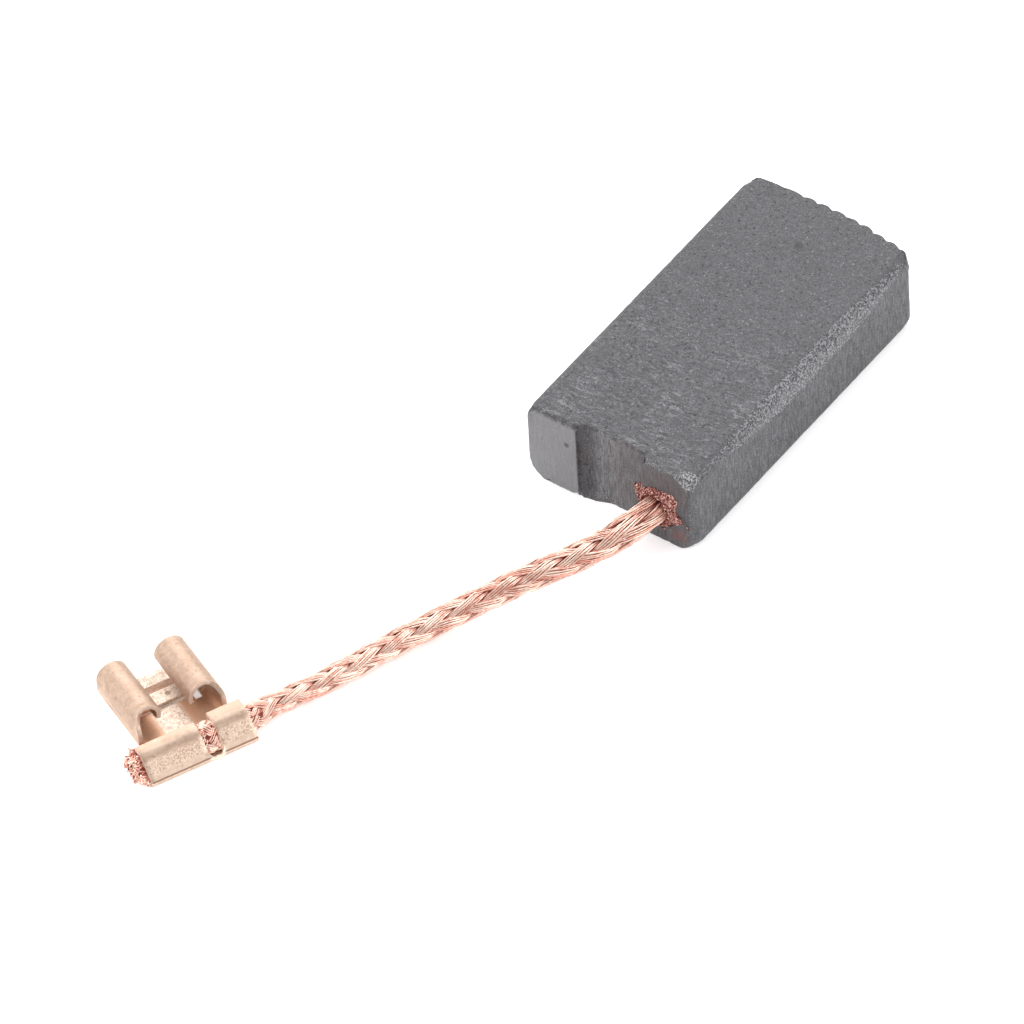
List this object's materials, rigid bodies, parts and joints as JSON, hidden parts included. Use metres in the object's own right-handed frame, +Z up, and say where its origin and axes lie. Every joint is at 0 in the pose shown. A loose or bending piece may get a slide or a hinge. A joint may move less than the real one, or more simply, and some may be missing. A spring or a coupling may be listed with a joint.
{
  "type": "carbon brush",
  "caption": "Carbon motor brush: ridged graphite block with a spring groove, a tamped copper braid pigtail and a folded brass flag receptacle crimped on the far end.",
  "frame": {"origin": "on the surface that the brush lies on, under the centre of the carbon block", "axes": "+X along the block's length towards the contact end, +Y across the holder's width towards the smooth ear, +Z up through the block's thickness"},
  "size_m": [0.0589, 0.0236, 0.0061],
  "materials": {
    "graphite": "matt pressed graphite with a fine grain",
    "copper_powder": "rammed copper powder, dull and grainy",
    "copper_braid": "bright fine copper wires",
    "brass_sheet": "satin rolled sheet"
  },
  "bodies": {
    "root": {"carbon_block": "graphite", "copper_tamping": "copper_powder", "pigtail": "copper_braid", "terminal": "brass_sheet"}
  },
  "joints": []
}
